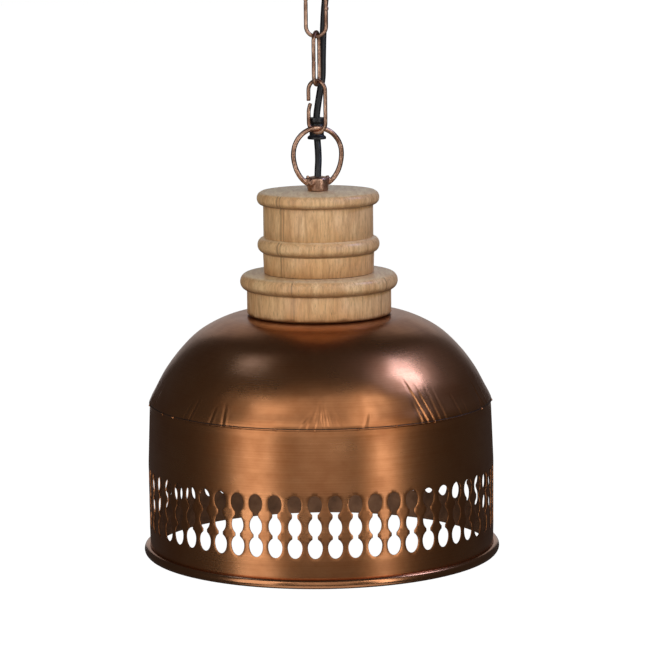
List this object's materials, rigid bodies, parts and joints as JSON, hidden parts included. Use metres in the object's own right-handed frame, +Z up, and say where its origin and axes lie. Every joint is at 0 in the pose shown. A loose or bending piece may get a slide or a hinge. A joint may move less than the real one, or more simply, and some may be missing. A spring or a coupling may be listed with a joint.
{
  "type": "hanging lantern",
  "caption": "Domed pierced copper pendant shade with a turned wooden cap, hung on a ring and chain links with a flex up to a ceiling cup.",
  "frame": {"origin": "centre of the ceiling plate's top face, where the lantern meets the ceiling; everything hangs below it", "axes": "+Z up out of the ceiling plate, +X to the right and -Y towards the viewer of the front"},
  "size_m": [0.3496, 0.3496, 0.6118],
  "materials": {
    "shade_copper": "antique brushed copper plating on sheet steel",
    "chain_copper": "worn antique copper plating on steel wire",
    "wood": "pale turned hardwood with a thin satin varnish",
    "flex_black": "satin black PVC",
    "moulded_black": "satin moulded black plastic",
    "steel": "zinc-plated steel",
    "brass": "plain brass",
    "ceramic": "matt white porcelain",
    "clear_glass": "clear blown glass",
    "filament": "yellow coated filament strip",
    "core_brown": "brown PVC insulation",
    "core_blue": "blue PVC insulation",
    "core_green": "green and yellow PVC insulation"
  },
  "bodies": {
    "fitting": {"ceiling_plate": "steel", "hook_bush": "steel", "ceiling_hook": "chain_copper", "canopy": "shade_copper", "canopy_nut": "chain_copper", "cable_grommet": "moulded_black", "terminal_block": "ceramic", "cable_upper": "flex_black"},
    "link_3": {"chain_link_3": "chain_copper", "cable_mid_upper": "flex_black"},
    "link_2": {"chain_link_2": "chain_copper", "cable_mid_lower": "flex_black"},
    "link_1": {"chain_link_1": "chain_copper", "cord_grip": "moulded_black"},
    "lamp": {"hanging_ring": "chain_copper", "loop_collar": "chain_copper", "threaded_nipple": "steel", "cable_lower": "flex_black", "cable_inner": "flex_black", "wood_cap": "wood", "wood_base": "wood", "shade_dome": "shade_copper", "shade_band": "shade_copper", "dome_washer": "steel", "nipple_nut": "steel", "holder_cap": "moulded_black", "holder_shell": "moulded_black", "holder_core": "ceramic", "screw_shell": "brass", "centre_contact": "brass", "live_core": "core_brown", "neutral_core": "core_blue", "earth_core": "core_green"},
    "bulb_thread": {"bulb_contact": "brass"},
    "bulb": {"bulb_insulator": "moulded_black", "bulb_cap": "steel", "bulb_glass": "clear_glass", "bulb_stem": "clear_glass", "bulb_filament": "filament"}
  },
  "joints": [
    {"name": "hook_swing", "type": "hinge", "parent": "fitting", "child": "link_3", "pos_m": [0, 0, -0.05675], "axis": [1, 0, 0], "range_deg": [-30, 30], "deforming": ["cable_upper"]},
    {"name": "link_3_swing", "type": "hinge", "parent": "link_3", "child": "link_2", "pos_m": [0, 0, -0.10315], "axis": [0.2756, 0.9613, 0], "range_deg": [-30, 30], "deforming": ["cable_mid_upper"]},
    {"name": "link_2_swing", "type": "hinge", "parent": "link_2", "child": "link_1", "pos_m": [0, 0, -0.14955], "axis": [0.829, -0.5592, 0], "range_deg": [-30, 30], "deforming": ["cable_mid_lower"]},
    {"name": "ring_swing", "type": "hinge", "parent": "link_1", "child": "lamp", "pos_m": [0, 0, -0.19555], "axis": [0.9703, 0.2419, 0], "range_deg": [-30, 30], "deforming": ["cable_lower"]},
    {"name": "bulb_travel", "type": "slide", "parent": "lamp", "child": "bulb_thread", "axis": [0, 0, -1], "range_m": [0, 0.01815]},
    {"name": "bulb_turn", "type": "hinge", "parent": "bulb_thread", "child": "bulb", "pos_m": [0, 0, -0.45], "axis": [0, 0, -1], "range_deg": [0, 1805]}
  ],
  "couplings": [
    {"joint": "bulb_turn", "follows": "bulb_travel", "rad_per_m": 1731.4}
  ]
}
